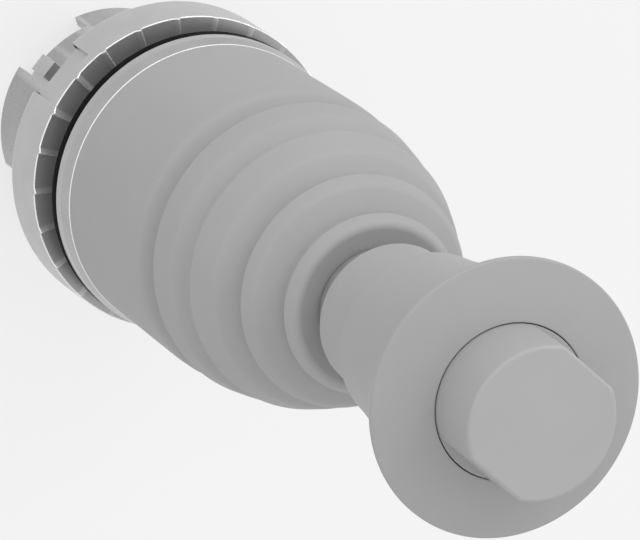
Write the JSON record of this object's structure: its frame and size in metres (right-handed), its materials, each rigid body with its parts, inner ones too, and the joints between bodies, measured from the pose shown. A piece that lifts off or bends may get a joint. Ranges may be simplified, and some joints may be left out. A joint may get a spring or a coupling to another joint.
{
  "type": "panel joystick",
  "caption": "Panel-mounting joystick with a ribbed grey rubber boot, flared handle, interlock button, bright bezel ring and ratchet-toothed locking collar.",
  "frame": {"origin": "centre of the gasket's rear face, in the plane of the panel's front face", "axes": "+Z along the lever's rest axis, out of the panel towards the button; +Y is the device's top; +X is its right side seen from the front"},
  "size_m": [0.031, 0.031, 0.1034],
  "materials": {
    "bright_metal": "bright satin plating on a zinc die casting",
    "black_rubber": "matte black rubber",
    "grey_rubber": "matte mid grey moulded rubber",
    "grey_plastic": "matte mid grey moulded plastic",
    "black_plastic": "matte black moulded plastic",
    "white_plastic": "natural white moulded plastic",
    "steel": "turned bright steel",
    "spring_steel": "drawn spring wire"
  },
  "bodies": {
    "root": {"panel_gasket": "black_rubber", "bezel_ring": "bright_metal", "barrel_housing": "bright_metal", "locking_collar": "bright_metal", "gate_ring": "black_plastic", "gate_screws": "steel", "rubber_boot": "grey_rubber", "outer_gimbal_pins": "steel", "plunger_guide": "black_plastic", "guide_clip": "steel", "plunger_spring_right": "spring_steel", "plunger_spring_top": "spring_steel", "plunger_spring_left": "spring_steel", "plunger_spring_bottom": "spring_steel"},
    "gimbal": {"gimbal_ring": "steel"},
    "lever": {"inner_gimbal_pins": "steel", "lever_hub": "steel", "lever_tube": "steel", "swash_plate": "steel", "swash_clip": "steel", "boot_seat": "black_plastic", "handle_grip": "grey_plastic", "handle_nut": "steel", "button_spring": "spring_steel"},
    "button": {"interlock_button": "grey_plastic", "interlock_rod": "steel"},
    "plunger_right_body": {"plunger_right": "white_plastic"},
    "plunger_top_body": {"plunger_top": "white_plastic"},
    "plunger_left_body": {"plunger_left": "white_plastic"},
    "plunger_bottom_body": {"plunger_bottom": "white_plastic"}
  },
  "joints": [
    {"name": "tilt_up_down", "type": "hinge", "parent": "root", "child": "gimbal", "pos_m": [0, 0, -0.0036], "axis": [1, 0, 0], "range_deg": [-12, 12], "stiffness_Nm_per_rad": 1, "deforming": ["rubber_boot"]},
    {"name": "tilt_left_right", "type": "hinge", "parent": "gimbal", "child": "lever", "pos_m": [0, 0, -0.0036], "axis": [0, 1, 0], "range_deg": [-12, 12], "stiffness_Nm_per_rad": 1},
    {"name": "button_press", "type": "slide", "parent": "lever", "child": "button", "axis": [0, 0, -1], "range_m": [0, 0.003], "stiffness_N_per_m": 600, "springref_m": -0.0015, "deforming": ["button_spring"]},
    {"name": "plunger_right_slide", "type": "slide", "parent": "root", "child": "plunger_right_body", "axis": [0, 0, 1], "range_m": [-0.0015, 0.0015], "deforming": ["plunger_spring_right"]},
    {"name": "plunger_top_slide", "type": "slide", "parent": "root", "child": "plunger_top_body", "axis": [0, 0, 1], "range_m": [-0.0015, 0.0015], "deforming": ["plunger_spring_top"]},
    {"name": "plunger_left_slide", "type": "slide", "parent": "root", "child": "plunger_left_body", "axis": [0, 0, 1], "range_m": [-0.0015, 0.0015], "deforming": ["plunger_spring_left"]},
    {"name": "plunger_bottom_slide", "type": "slide", "parent": "root", "child": "plunger_bottom_body", "axis": [0, 0, 1], "range_m": [-0.0015, 0.0015], "deforming": ["plunger_spring_bottom"]}
  ],
  "couplings": [
    {"joint": "plunger_right_slide", "follows": "tilt_left_right", "m_per_rad": -0.0068},
    {"joint": "plunger_top_slide", "follows": "tilt_up_down", "m_per_rad": 0.0068},
    {"joint": "plunger_left_slide", "follows": "tilt_left_right", "m_per_rad": 0.0068},
    {"joint": "plunger_bottom_slide", "follows": "tilt_up_down", "m_per_rad": -0.0068}
  ]
}
